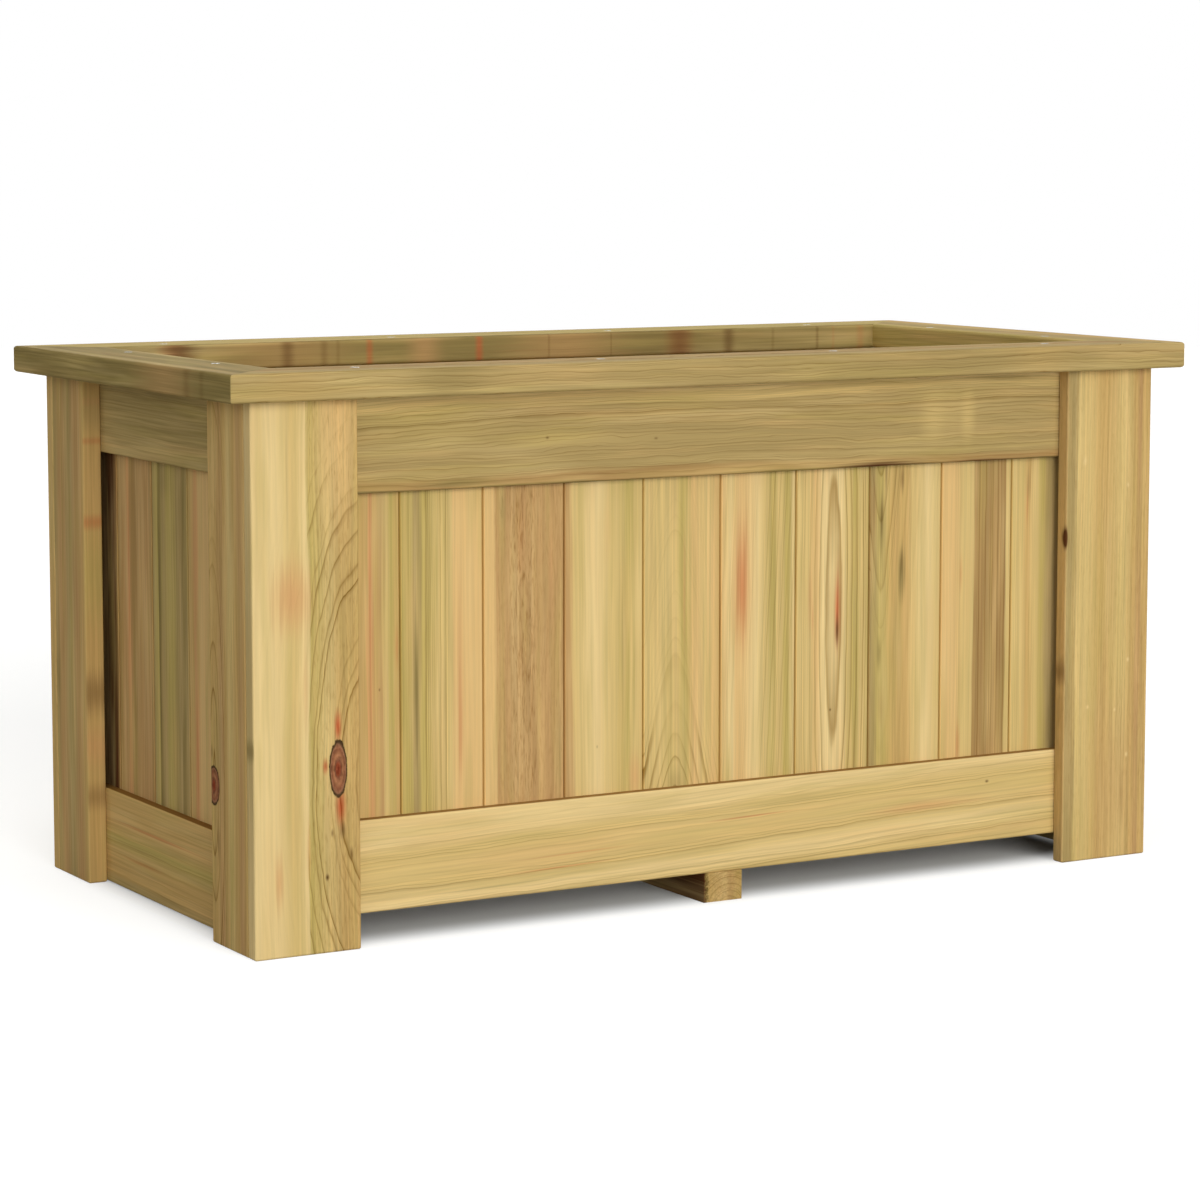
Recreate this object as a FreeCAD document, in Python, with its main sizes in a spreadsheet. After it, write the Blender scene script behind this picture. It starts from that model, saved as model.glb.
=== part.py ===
"""A raised planter of pine boards: four framed panels, a mitred cap and a boarded floor.

Millimetres, +Z up. X runs along the length, the front faces -Y, and the origin is on the ground
under the middle. The sheet holds every size that can be set by itself. A panel and its cap board are
modelled as the front one, facing -Y, and turned to their side of the box.
"""

import FreeCAD, Part

import os

import Sketcher
from FreeCAD import Placement, Rotation, Vector

doc = FreeCAD.newDocument("Planter")

# The driving sizes

SIZES = (
    ("overall_length", 1000),
    ("overall_depth", 500),
    ("overall_height", 500),
    ("cap_width", 69),
    ("cap_thickness", 24.5),
    ("cap_arris", 3),
    ("length_overhang", 25),
    ("depth_overhang", 17.5),
    ("long_stile_width", 100),
    ("long_stile_thickness", 15),
    ("short_stile_width", 75),
    ("short_stile_thickness", 18.5),
    ("stile_arris", 2),
    ("rail_thickness", 20),
    ("rail_arris", 2.5),
    ("long_bottom_rail_foot", 27),
    ("long_bottom_rail_height", 82),
    ("long_top_rail_height", 83.5),
    ("short_bottom_rail_foot", 1),
    ("short_bottom_rail_height", 88.5),
    ("short_top_rail_height", 70.5),
    ("slat_thickness", 10),
    ("slat_gap", 0.3),
    ("slat_bevel", 1.5),
    ("slat_seat", 10),
    ("long_slat_count", 12),
    ("long_first_slat_width", 51.5),
    ("long_last_slat_width", 46.5),
    ("short_slat_count", 5),
    ("short_first_slat_width", 67),
    ("short_last_slat_width", 83.5),
    ("tongue_width", 4.5),
    ("tongue_thickness", 3),
    ("tongue_clearance", 0.25),
    ("support_width", 40.5),
    ("cleat_thickness", 20),
    ("cleat_height", 19),
    ("floor_thickness", 15),
    ("floor_gap", 7),
    ("floor_clearance", 1),
    ("floor_board_count", 4),
    ("batten_width", 20),
    ("screw_diameter", 4),
    ("screw_head_diameter", 8),
    ("screw_slot_width", 1.2),
    ("screw_slot_depth", 1.2),
    ("short_screw_length", 30),
    ("long_screw_length", 50),
    ("batten_screw_spacing", 14),
    ("support_screw_sink", 2),
    ("pin_diameter", 1.6),
    ("pin_head_diameter", 3.2),
    ("pin_head_thickness", 0.8),
    ("pin_length", 16),
    ("fastener_clearance", 0.1),
    ("overrun", 1),
)

sheet = doc.addObject("Spreadsheet::Sheet", "Sizes")
for row, (alias, number) in enumerate(SIZES, start=1):
    sheet.set(f"A{row}", alias)
    sheet.set(f"B{row}", str(number))
    sheet.setAlias(f"B{row}", alias)
doc.recompute()

# Two places nearer than this are the same place.
SAME_PLACE = 1e-6


def size(alias):
    """The sheet's cell, as an expression."""
    return f"Sizes.{alias}"


def value(expression):
    """What an expression comes to now."""
    return float(sheet.evalExpression(expression))


# Places that several pieces share, as expressions of the sheet

POST_HALF_LENGTH = "(Sizes.overall_length / 2 - Sizes.length_overhang)"
POST_HALF_DEPTH = "(Sizes.overall_depth / 2 - Sizes.depth_overhang)"
INNER_HALF_LENGTH = f"({POST_HALF_LENGTH} - Sizes.short_stile_thickness - Sizes.rail_thickness)"
INNER_HALF_DEPTH = f"({POST_HALF_DEPTH} - Sizes.long_stile_thickness - Sizes.rail_thickness)"
CAP_UNDERSIDE = "(Sizes.overall_height - Sizes.cap_thickness)"
FLOOR_UNDERSIDE = "Sizes.long_bottom_rail_foot"
FLOOR_TOP = "(Sizes.long_bottom_rail_foot + Sizes.floor_thickness)"


class Family:
    """The expressions in which the long panels differ from the short ones.

    Across is the distance outward from the middle of the box, and along is measured from the
    panel's own middle.
    """

    def __init__(self, name, post_face, post_end, rail_end, cap_across, cap_along, cap_screw_shares):
        self.post_face = post_face
        self.post_end = post_end
        self.rail_end = rail_end
        self.cap_across = cap_across
        self.cap_along = cap_along
        self.cap_screw_shares = cap_screw_shares
        self.stile_width = size(f"{name}_stile_width")
        self.rail_face = f"({post_face} - {size(f'{name}_stile_thickness')})"
        self.rail_back = f"({self.rail_face} - Sizes.rail_thickness)"
        self.slat_face = f"({self.rail_back} + Sizes.slat_thickness)"
        self.bottom_rail_foot = size(f"{name}_bottom_rail_foot")
        self.bottom_rail_top = f"({self.bottom_rail_foot} + {size(f'{name}_bottom_rail_height')})"
        self.top_rail_foot = f"({CAP_UNDERSIDE} - {size(f'{name}_top_rail_height')})"
        self.slat_foot = f"({self.bottom_rail_top} - Sizes.slat_seat)"
        self.slat_top = f"({self.top_rail_foot} + Sizes.slat_seat)"
        self.slat_count = size(f"{name}_slat_count")
        self.first_slat_width = size(f"{name}_first_slat_width")
        self.last_slat_width = size(f"{name}_last_slat_width")


LONG = Family(
    "long",
    post_face=POST_HALF_DEPTH,
    post_end=POST_HALF_LENGTH,
    rail_end=f"({POST_HALF_LENGTH} - Sizes.short_stile_thickness)",
    cap_across="(Sizes.overall_depth / 2)",
    cap_along="(Sizes.overall_length / 2)",
    cap_screw_shares=(-0.8, -0.27, 0.27, 0.8),
)
SHORT = Family(
    "short",
    post_face=POST_HALF_LENGTH,
    post_end=f"({POST_HALF_DEPTH} - Sizes.long_stile_thickness)",
    rail_end=INNER_HALF_DEPTH,
    cap_across="(Sizes.overall_length / 2)",
    cap_along="(Sizes.overall_depth / 2)",
    cap_screw_shares=(-0.5, 0.5),
)

# Each side of the box: its family, its turn about Z, and the corners at its two ends.
SIDES = (
    ("front", LONG, 0, "front_left", "front_right"),
    ("right", SHORT, 90, "front_right", "back_right"),
    ("back", LONG, 180, "back_right", "back_left"),
    ("left", SHORT, 270, "back_left", "front_left"),
)

# Along a rail's height, and along the depth, where the screws stand
STILE_SCREW_HEIGHT_SHARES = (0.25, 0.75)
CLEAT_SCREW_SHARES = (-0.5, 0, 0.5)

blanks = {}
drillings = {}


# Making a board

def turned(angle):
    """The placement that turns the front side to another side of the box."""
    return Placement(Vector(), Rotation(Vector(0, 0, 1), angle))


def origin_plane(body, role):
    return next(feature for feature in body.Origin.OriginFeatures if feature.Role == role)


def bind_corner(sketch, index, corner):
    """Ties a corner of the outline to its two expressions."""
    for kind, axis, expression in (("DistanceX", -2, corner[0]), ("DistanceY", -1, corner[1])):
        if expression == "0":
            sketch.addConstraint(Sketcher.Constraint("PointOnObject", index, 1, axis))
            continue
        reach = value(expression)
        number = sketch.addConstraint(Sketcher.Constraint(kind, -1, 1, index, 1, reach))
        sketch.setExpression(f"Constraints[{number}]", expression)


def outline(body, plane, corners, start):
    """A closed sketch of straight edges through corners that are pairs of expressions."""
    sketch = body.newObject("Sketcher::SketchObject", f"{body.Name}_outline")
    sketch.AttachmentSupport = [(origin_plane(body, plane), "")]
    sketch.MapMode = "FlatFace"
    if start != "0":
        sketch.setExpression("AttachmentOffset.Base.z", start)
    spots = [Vector(value(first), value(second), 0) for first, second in corners]
    for index, spot in enumerate(spots):
        sketch.addGeometry(Part.LineSegment(spot, spots[(index + 1) % len(spots)]), False)
    for index in range(len(spots)):
        sketch.addConstraint(Sketcher.Constraint("Coincident", index, 2, (index + 1) % len(spots), 1))
    for index, corner in enumerate(corners):
        bind_corner(sketch, index, corner)
    return sketch


def board(label, plane, corners, start, length, angle=0):
    """A body padded from an outline: it starts at a distance from the plane and runs for a length."""
    body = doc.addObject("PartDesign::Body", label)
    sketch = outline(body, plane, corners, start)
    pad = body.newObject("PartDesign::Pad", f"{label}_pad")
    pad.Profile = sketch
    pad.setExpression("Length", length)
    body.Placement = turned(angle)
    doc.recompute()
    blanks[label] = body
    drillings[label] = []
    return body


def rectangle(low_first, high_first, low_second, high_second):
    return (
        (low_first, low_second),
        (high_first, low_second),
        (high_first, high_second),
        (low_first, high_second),
    )


def ease(body, radius, chosen):
    """Rounds the body's edges that `chosen` picks out by their midpoint and direction."""
    base = body.Tip
    names = []
    for index, edge in enumerate(base.Shape.Edges, start=1):
        direction = edge.tangentAt(edge.FirstParameter)
        if chosen(edge.CenterOfMass, direction):
            names.append(f"Edge{index}")
    fillet = body.newObject("PartDesign::Fillet", f"{body.Name}_arris")
    fillet.Base = (base, names)
    fillet.setExpression("Radius", radius)
    doc.recompute()


def runs_along(direction, axis):
    return abs(abs(direction.dot(axis)) - 1) < SAME_PLACE


# The cap

def cap_board(side, family, angle):
    """A mitred board of the cap, eased along its outer and inner edges."""
    across, along = family.cap_across, family.cap_along
    corners = (
        (f"-{along}", f"-{across}"),
        (along, f"-{across}"),
        (f"{along} - Sizes.cap_width", f"-({across} - Sizes.cap_width)"),
        (f"-({along} - Sizes.cap_width)", f"-({across} - Sizes.cap_width)"),
    )
    body = board(f"cap_{side}_board", "XY_Plane", corners, CAP_UNDERSIDE, size("cap_thickness"), angle)
    ease(body, size("cap_arris"), lambda middle, direction: runs_along(direction, Vector(1, 0, 0)))


# The posts: at each corner a face board laps the edge of a side board

def stile(label, family, angle, end):
    """A post board at one end of a panel, with every edge eased but those under the cap."""
    inner_end = f"({family.post_end} - {family.stile_width})"
    if end > 0:
        low, high = inner_end, family.post_end
    else:
        low, high = f"-{family.post_end}", f"-{inner_end}"
    corners = rectangle(low, high, f"-{family.post_face}", f"-{family.rail_face}")
    body = board(label, "XY_Plane", corners, "0", CAP_UNDERSIDE, angle)
    top = value(CAP_UNDERSIDE)
    ease(body, size("stile_arris"), lambda middle, direction: middle.z < top - SAME_PLACE)


# The rails, rebated along the inside for the slats' ends

def rail(label, family, angle, foot, top, seat_at_top):
    """A rail whose inner edge towards the panel's middle is cut back by the slats' thickness."""
    face, slat_face, back = f"-{family.rail_face}", f"-{family.slat_face}", f"-{family.rail_back}"
    if seat_at_top:
        shoulder = f"{top} - Sizes.slat_seat"
        inner_corners = ((back, foot), (back, shoulder), (slat_face, shoulder), (slat_face, top))
    else:
        shoulder = f"{foot} + Sizes.slat_seat"
        inner_corners = ((slat_face, foot), (slat_face, shoulder), (back, shoulder), (back, top))
    corners = ((face, foot), *inner_corners, (face, top))
    start = f"-{family.rail_end}"
    body = board(label, "YZ_Plane", corners, start, f"2 * {family.rail_end}", angle)
    face_place = -value(family.rail_face)
    under_cap = value(CAP_UNDERSIDE)

    def outer_arris(middle, direction):
        at_face = abs(middle.y - face_place) < SAME_PLACE
        below_cap = middle.z < under_cap - SAME_PLACE
        return at_face and below_cap and runs_along(direction, Vector(1, 0, 0))

    ease(body, size("rail_arris"), outer_arris)


# The slats

def seams(family):
    """The places of the joints between a panel's slats, from one end to the other, as expressions.

    The end slats are cut to their widths, and the others share the length between them.
    """
    first_seam = f"({family.first_slat_width} - {family.rail_end})"
    room = f"(2 * {family.rail_end} - {family.first_slat_width} - {family.last_slat_width})"
    pitch = f"({room} / ({family.slat_count} - 2))"
    joint_count = round(value(family.slat_count)) - 1
    return [f"({first_seam} + {number} * {pitch})" for number in range(joint_count)]


def slat(label, family, angle, low_seam, high_seam):
    """A tongue-and-groove board, beveled along its joints. An end slat has no joint on its outer side."""
    face, back = f"-{family.slat_face}", f"-{family.rail_back}"
    bevel_end = f"-({family.slat_face} - Sizes.slat_bevel)"
    middle = f"({family.rail_back} + Sizes.slat_thickness / 2)"
    low = f"({low_seam} + Sizes.slat_gap / 2)" if low_seam else f"(-{family.rail_end})"
    high = f"({high_seam} - Sizes.slat_gap / 2)" if high_seam else family.rail_end
    corners = []
    if low_seam:
        groove_half = "(Sizes.tongue_thickness / 2 + Sizes.tongue_clearance)"
        groove_end = f"({low_seam} + Sizes.slat_gap / 2 + Sizes.tongue_width + Sizes.tongue_clearance)"
        groove_front, groove_back = f"-({middle} + {groove_half})", f"-({middle} - {groove_half})"
        corners += [(low, back), (low, groove_back), (groove_end, groove_back)]
        corners += [(groove_end, groove_front), (low, groove_front), (low, bevel_end)]
        corners += [(f"{low} + Sizes.slat_bevel", face)]
    else:
        corners += [(low, back), (low, face)]
    if high_seam:
        tongue_half = "(Sizes.tongue_thickness / 2)"
        tongue_end = f"({high_seam} + Sizes.slat_gap / 2 + Sizes.tongue_width)"
        tongue_front, tongue_back = f"-({middle} + {tongue_half})", f"-({middle} - {tongue_half})"
        corners += [(f"{high} - Sizes.slat_bevel", face), (high, bevel_end)]
        corners += [(high, tongue_front), (tongue_end, tongue_front)]
        corners += [(tongue_end, tongue_back), (high, tongue_back), (high, back)]
    else:
        corners += [(high, face), (high, back)]
    height = f"{family.slat_top} - {family.slat_foot}"
    board(label, "XY_Plane", corners, family.slat_foot, height, angle)
    return f"(({low} + {high}) / 2)"


# The floor: boards on the middle support and on a cleat at each end

def centre_support():
    half = "Sizes.support_width / 2"
    corners = rectangle(f"-{half}", half, f"-{LONG.rail_face}", LONG.rail_face)
    board("centre_support", "XY_Plane", corners, "0", FLOOR_UNDERSIDE)


def floor_cleat(side, angle):
    corners = rectangle(
        f"-{INNER_HALF_DEPTH}",
        INNER_HALF_DEPTH,
        f"-{INNER_HALF_LENGTH}",
        f"-({INNER_HALF_LENGTH} - Sizes.cleat_thickness)",
    )
    start = f"{FLOOR_UNDERSIDE} - Sizes.cleat_height"
    board(f"{side}_floor_cleat", "XY_Plane", corners, start, size("cleat_height"), angle)


def floor_board(number):
    """One of the floor's boards, counted from the front. Returns the place of its middle."""
    room = f"(2 * ({INNER_HALF_DEPTH} - Sizes.floor_clearance))"
    width = f"(({room} + Sizes.floor_gap) / Sizes.floor_board_count - Sizes.floor_gap)"
    low = f"(-{room} / 2 + {number} * ({width} + Sizes.floor_gap))"
    high = f"({low} + {width})"
    end = f"({INNER_HALF_LENGTH} - Sizes.floor_clearance)"
    corners = rectangle(f"-{end}", end, low, high)
    board(f"floor_board_{number + 1}", "XY_Plane", corners, FLOOR_UNDERSIDE, size("floor_thickness"))
    return f"({low} + {width} / 2)"


def corner_batten(corner, toward_x, toward_y):
    """The upright batten inside a corner, from the floor to the cap."""
    far_x, near_x = INNER_HALF_LENGTH, f"({INNER_HALF_LENGTH} - Sizes.batten_width)"
    far_y, near_y = INNER_HALF_DEPTH, f"({INNER_HALF_DEPTH} - Sizes.batten_width)"
    span_x = (near_x, far_x) if toward_x > 0 else (f"-{far_x}", f"-{near_x}")
    span_y = (near_y, far_y) if toward_y > 0 else (f"-{far_y}", f"-{near_y}")
    corners = rectangle(*span_x, *span_y)
    board(f"{corner}_corner_batten", "XY_Plane", corners, FLOOR_TOP, f"{CAP_UNDERSIDE} - {FLOOR_TOP}")


# The fasteners: each is a turned shape whose head is at the origin and whose tip points along +Z

def turned_solid(radii_and_depths):
    points = [Vector(radius, 0, depth) for radius, depth in radii_and_depths]
    face = Part.Face(Part.makePolygon(points + points[:1]))
    return face.revolve(Vector(), Vector(0, 0, 1), 360)


def screw_shape(length):
    """A countersunk wood screw with a cross slot."""
    head, shank = value("Sizes.screw_head_diameter / 2"), value("Sizes.screw_diameter / 2")
    taper = head - shank
    solid = turned_solid(((0, 0), (head, 0), (shank, taper), (shank, length - head), (0, length)))
    width, depth = value(size("screw_slot_width")), value(size("screw_slot_depth"))
    for box_x, box_y in ((head, width), (width, head)):
        solid = solid.cut(Part.makeBox(box_x, box_y, depth, Vector(-box_x / 2, -box_y / 2, 0)))
    return solid


def screw_hole(length, sink):
    """The hole of a screw, open above the head by the sink and the overrun."""
    gap = value(size("fastener_clearance"))
    head = value("Sizes.screw_head_diameter / 2") + gap
    shank = value("Sizes.screw_diameter / 2") + gap
    mouth, taper, end = -sink - value(size("overrun")), head - shank, length + gap
    return turned_solid(((0, mouth), (head, mouth), (head, 0), (shank, taper), (shank, end), (0, end)))


def pin_shape():
    head, shank = value("Sizes.pin_head_diameter / 2"), value("Sizes.pin_diameter / 2")
    thickness, length = value(size("pin_head_thickness")), value(size("pin_length"))
    head_points = ((0, 0), (head, 0), (head, thickness), (shank, thickness))
    return turned_solid(head_points + ((shank, length - 2 * shank), (0, length)))


def pin_hole():
    gap = value(size("fastener_clearance"))
    head = value("Sizes.pin_head_diameter / 2") + gap
    shank = value("Sizes.pin_diameter / 2") + gap
    seat, end = value(size("pin_head_thickness")), value(size("pin_length")) + gap
    mouth = -value(size("overrun"))
    return turned_solid(((0, mouth), (head, mouth), (head, seat), (shank, seat), (shank, end), (0, end)))


SHORT_SCREW_LENGTH = value(size("short_screw_length"))
LONG_SCREW_LENGTH = value(size("long_screw_length"))
SUPPORT_SCREW_SINK = value(size("support_screw_sink"))

# Each kind of fastener: its shape and its hole
FASTENERS = {
    "cap_screws": (screw_shape(LONG_SCREW_LENGTH), screw_hole(LONG_SCREW_LENGTH, 0)),
    "frame_screws": (screw_shape(SHORT_SCREW_LENGTH), screw_hole(SHORT_SCREW_LENGTH, 0)),
    "floor_screws": (screw_shape(SHORT_SCREW_LENGTH), screw_hole(SHORT_SCREW_LENGTH, 0)),
    "support_screws": (screw_shape(LONG_SCREW_LENGTH), screw_hole(LONG_SCREW_LENGTH, SUPPORT_SCREW_SINK)),
    "slat_pins": (pin_shape(), pin_hole()),
}
fastened = {kind: [] for kind in FASTENERS}

INTO_FRONT = Vector(0, -1, 0)
DOWN = Vector(0, 0, -1)
UP = Vector(0, 0, 1)


def fasten(kind, head, direction, pieces, angle=0):
    """Drives one fastener through pieces. Its head's place is three expressions, on the front side."""
    spot = Vector(*(value(expression) for expression in head))
    place = turned(angle) * Placement(spot, Rotation(Vector(0, 0, 1), direction))
    shape, hole = FASTENERS[kind]
    fastened[kind].append(placed(shape, place))
    for label in pieces:
        drillings[label].append(placed(hole, place))


def placed(shape, place):
    copy = shape.copy()
    copy.Placement = place
    return copy


def between(low, high, share):
    return f"({low} + {share} * ({high} - {low}))"


# Building every side

slat_labels = {}

for side, family, angle, low_corner, high_corner in SIDES:
    cap_board(side, family, angle)
    kind = "face" if family is LONG else "side"
    post_labels = {}
    for corner, end in ((low_corner, -1), (high_corner, 1)):
        post_labels[end] = f"{corner}_post_{kind}_board"
        stile(post_labels[end], family, angle, end)
    bottom, top = f"{side}_bottom_rail", f"{side}_top_rail"
    rail(bottom, family, angle, family.bottom_rail_foot, family.bottom_rail_top, seat_at_top=True)
    rail(top, family, angle, family.top_rail_foot, CAP_UNDERSIDE, seat_at_top=False)

    joints = seams(family)
    digits = 2 if family is LONG else 1
    slat_labels[side] = []
    for number, (low_seam, high_seam) in enumerate(zip([None] + joints, joints + [None]), start=1):
        label = f"{side}_slat_{number:0{digits}d}"
        middle = slat(label, family, angle, low_seam, high_seam)
        slat_labels[side].append(label)
        back = f"-{family.rail_back}"
        low_pin = f"{family.slat_foot} + Sizes.slat_seat / 2"
        high_pin = f"{family.slat_top} - Sizes.slat_seat / 2"
        fasten("slat_pins", (middle, back, low_pin), INTO_FRONT, (label, bottom), angle)
        fasten("slat_pins", (middle, back, high_pin), INTO_FRONT, (label, top), angle)

    # The stiles' screws stand between the stile's inner edge and the corner batten.
    batten_edge = f"({family.rail_end} - Sizes.batten_width)"
    if family is LONG:
        batten_edge = f"({INNER_HALF_LENGTH} - Sizes.batten_width)"
    stile_edge = f"({family.post_end} - {family.stile_width})"
    for end, label in post_labels.items():
        along = f"{end} * ({stile_edge} + {batten_edge}) / 2"
        for share in STILE_SCREW_HEIGHT_SHARES:
            low = between(family.bottom_rail_foot, family.bottom_rail_top, share)
            high = between(family.top_rail_foot, CAP_UNDERSIDE, share)
            fasten("frame_screws", (along, f"-{family.rail_back}", low), INTO_FRONT, (bottom, label), angle)
            fasten("frame_screws", (along, f"-{family.rail_back}", high), INTO_FRONT, (top, label), angle)

    rail_middle = f"-({family.rail_face} - Sizes.rail_thickness / 2)"
    for share in family.cap_screw_shares:
        head = (f"{share} * {family.rail_end}", rail_middle, size("overall_height"))
        fasten("cap_screws", head, DOWN, (f"cap_{side}_board", top), angle)

for corner, toward_x, toward_y in (
    ("front_left", -1, -1),
    ("front_right", 1, -1),
    ("back_left", -1, 1),
    ("back_right", 1, 1),
):
    corner_batten(corner, toward_x, toward_y)

# Each batten is screwed to the rails on both of its sides, above the floor and under the cap. The two
# screws of a pair stand one above the other, so that they pass clear of each other.
LOWER_FIXING = f"(({FLOOR_TOP} + {SHORT.slat_foot}) / 2)"
UPPER_FIXING = f"(({SHORT.slat_top} + {CAP_UNDERSIDE}) / 2)"

for side, family, angle, low_corner, high_corner in SIDES:
    lift = 1 if family is LONG else -1
    inner_end = INNER_HALF_LENGTH if family is LONG else INNER_HALF_DEPTH
    for corner, end in ((low_corner, -1), (high_corner, 1)):
        along = f"{end} * ({inner_end} - Sizes.batten_width / 2)"
        across = f"-({family.rail_back} - Sizes.batten_width)"
        for fixing, level in ((LOWER_FIXING, "bottom"), (UPPER_FIXING, "top")):
            height = f"{fixing} + {lift} * Sizes.batten_screw_spacing / 2"
            pieces = (f"{corner}_corner_batten", f"{side}_{level}_rail")
            fasten("frame_screws", (along, across, height), INTO_FRONT, pieces, angle)

centre_support()
for side, family, angle, low_corner, high_corner in SIDES:
    if family is LONG:
        rail_middle = f"-({family.rail_face} - Sizes.rail_thickness / 2)"
        head = ("0", rail_middle, size("support_screw_sink"))
        fasten("support_screws", head, UP, ("centre_support", f"{side}_bottom_rail"), angle)

CLEAT_MIDDLE = f"({INNER_HALF_LENGTH} - Sizes.cleat_thickness / 2)"
for side, angle in (("right", 90), ("left", 270)):
    floor_cleat(side, angle)
    across = f"-({INNER_HALF_LENGTH} - Sizes.cleat_thickness)"
    height = f"{FLOOR_UNDERSIDE} - Sizes.cleat_height / 2"
    for share in CLEAT_SCREW_SHARES:
        head = (f"{share} * {INNER_HALF_DEPTH}", across, height)
        fasten("frame_screws", head, INTO_FRONT, (f"{side}_floor_cleat", f"{side}_bottom_rail"), angle)

for number in range(round(value(size("floor_board_count")))):
    middle = floor_board(number)
    label = f"floor_board_{number + 1}"
    for along, carrier in (
        (f"-{CLEAT_MIDDLE}", "left_floor_cleat"),
        ("0", "centre_support"),
        (CLEAT_MIDDLE, "right_floor_cleat"),
    ):
        fasten("floor_screws", (along, middle, FLOOR_TOP), DOWN, (label, carrier))

# Drilling the boards: each finished piece is its board less the holes through it

nodes = {}
for label, body in blanks.items():
    body.Label = f"{label}_blank"
    drill = doc.addObject("Part::Feature", f"{label}_drill")
    drill.Shape = Part.makeCompound(drillings[label])
    cut = doc.addObject("Part::Cut", f"{label}_cut")
    cut.Base = body
    cut.Tool = drill
    cut.Label = label
    nodes[label] = cut
doc.recompute()

# The back's slats share one node, as twelve boards side by side.
back_slats = doc.addObject("Part::Compound", "back_slats_group")
back_slats.Links = [nodes.pop(label) for label in slat_labels["back"]]
back_slats.Label = "back_slats"
nodes["back_slats"] = back_slats

for kind, shapes in fastened.items():
    group = doc.addObject("Part::Feature", f"{kind}_group")
    group.Shape = Part.makeCompound(shapes)
    group.Label = kind
    nodes[kind] = group
doc.recompute()

# Checking, then writing each node

for item in doc.Objects:
    if {"Invalid", "Error"} & set(item.State):
        raise RuntimeError(f"{item.Label} failed: {item.State}")
for label, node in nodes.items():
    if node.Shape.isNull() or not node.Shape.isValid():
        raise RuntimeError(f"{label} has no valid shape")
    expected = len(fastened.get(label, slat_labels["back"] if label == "back_slats" else [label]))
    if len(node.Shape.Solids) != expected:
        raise RuntimeError(f"{label} has {len(node.Shape.Solids)} solids, not {expected}")

os.makedirs("parts", exist_ok=True)
for label, node in nodes.items():
    node.Shape.exportStep(os.path.join("parts", f"{label}.step"))
print(f"{len(nodes)} nodes, {sum(len(node.Shape.Solids) for node in nodes.values())} solids")
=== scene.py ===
"""The looks of a wooden planter box: its boards in planed, impregnated pine, its screws in zinc.

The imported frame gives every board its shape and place, in metres. Each board gets a material of its
own, because no two boards of one tree look alike: their colours, growth rings, stains and knots are
written below in millimetres of the box, along and across the grain.
"""

import math
import random
from dataclasses import dataclass

import bmesh
import bpy
from bpy.props import FloatProperty, FloatVectorProperty, PointerProperty
from mathutils import Matrix, Vector


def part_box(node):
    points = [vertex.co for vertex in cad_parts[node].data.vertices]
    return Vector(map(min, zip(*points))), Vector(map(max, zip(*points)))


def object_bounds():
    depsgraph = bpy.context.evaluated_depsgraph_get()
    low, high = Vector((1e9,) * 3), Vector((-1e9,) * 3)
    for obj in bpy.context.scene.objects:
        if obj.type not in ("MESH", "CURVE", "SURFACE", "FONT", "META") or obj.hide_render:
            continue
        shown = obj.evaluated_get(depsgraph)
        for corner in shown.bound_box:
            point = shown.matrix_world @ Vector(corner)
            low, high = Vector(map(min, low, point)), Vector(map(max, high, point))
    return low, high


bl_info = {
    "name": "Wooden planter box",
    "version": (1, 0, 0),
    "blender": (4, 5, 0),
    "location": "3D View > Sidebar > Planter",
    "description": "Dresses the boards of a planter box in impregnated pine and sets it on a pale floor",
    "category": "Material",
}

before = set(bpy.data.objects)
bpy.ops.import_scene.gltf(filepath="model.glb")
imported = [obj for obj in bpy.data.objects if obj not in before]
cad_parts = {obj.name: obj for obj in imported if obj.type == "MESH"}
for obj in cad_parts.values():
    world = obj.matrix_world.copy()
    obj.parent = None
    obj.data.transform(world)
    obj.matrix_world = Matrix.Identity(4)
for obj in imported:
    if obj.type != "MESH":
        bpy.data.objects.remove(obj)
CAD_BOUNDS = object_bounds()

MM = 0.001
AXES = {"x": Vector((1, 0, 0)), "y": Vector((0, 1, 0)), "z": Vector((0, 0, 1))}


def linear(code, alpha=1.0):
    """The scene's linear colour of an sRGB hex code."""
    shares = [int(code[place:place + 2], 16) / 255 for place in (1, 3, 5)]
    return (*(share / 12.92 if share <= 0.04045 else ((share + 0.055) / 1.055) ** 2.4 for share in shares), alpha)


# The colours that a maker would change, each with the words that the panel shows

TINTS = {
    "cream": ("#E6CB8F", "Palest sapwood"),
    "straw": ("#D8BC7B", "Yellow sapwood, the most common"),
    "peach": ("#E0BB7D", "Warm, slightly pink sapwood"),
    "tan": ("#CCA96A", "Warm middle tone"),
    "green": ("#C0AA64", "Where the preservative has taken well"),
    "olive": ("#B29A64", "Grey-green of the rails and the cap"),
    "moss": ("#8E7C4B", "Dark green-brown lines and bands"),
    "brown": ("#C29B66", "Brownish heartwood"),
    "tobacco": ("#AE8C58", "Darkest heartwood"),
    "rose": ("#D6A26C", "Pinkish stain"),
    "rust": ("#C25F3A", "Orange-red resin streaks"),
    "umber": ("#5E3B22", "Knots and flecks"),
}

# What darkens the board's own colour by multiplication, or lightens it where a share is above 1
LATE_WOOD = linear("#B5A482")
END_GRAIN = linear("#DDD4C8")
FLECK = linear("#BCA27C")
# Painted shade deep in a V joint
PAINTED_JOINT_SHADE = linear("#CAC0AB")
# Painted highlight on the two planed faces of a V joint
PAINTED_BEVEL_HIGHLIGHT = (1.2, 1.17, 1.12, 1)
# Painted shade on a rail's upper and lower faces
PAINTED_RAIL_SHADE = linear("#AE9A81")
# A knot from its heart to the dark bark ring round it, and past that its see-through rim
KNOT = (
    (0.1, "#6A2C1C", 1), (0.25, "#96492E", 1), (0.4, "#7E5038", 1), (0.55, "#A5704C", 1), (0.7, "#86543A", 1),
    (0.82, "#97684A", 1), (0.88, "#54402A", 1), (0.95, "#4C3A24", 1), (1.0, "#7A6238", 0),
)
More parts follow.
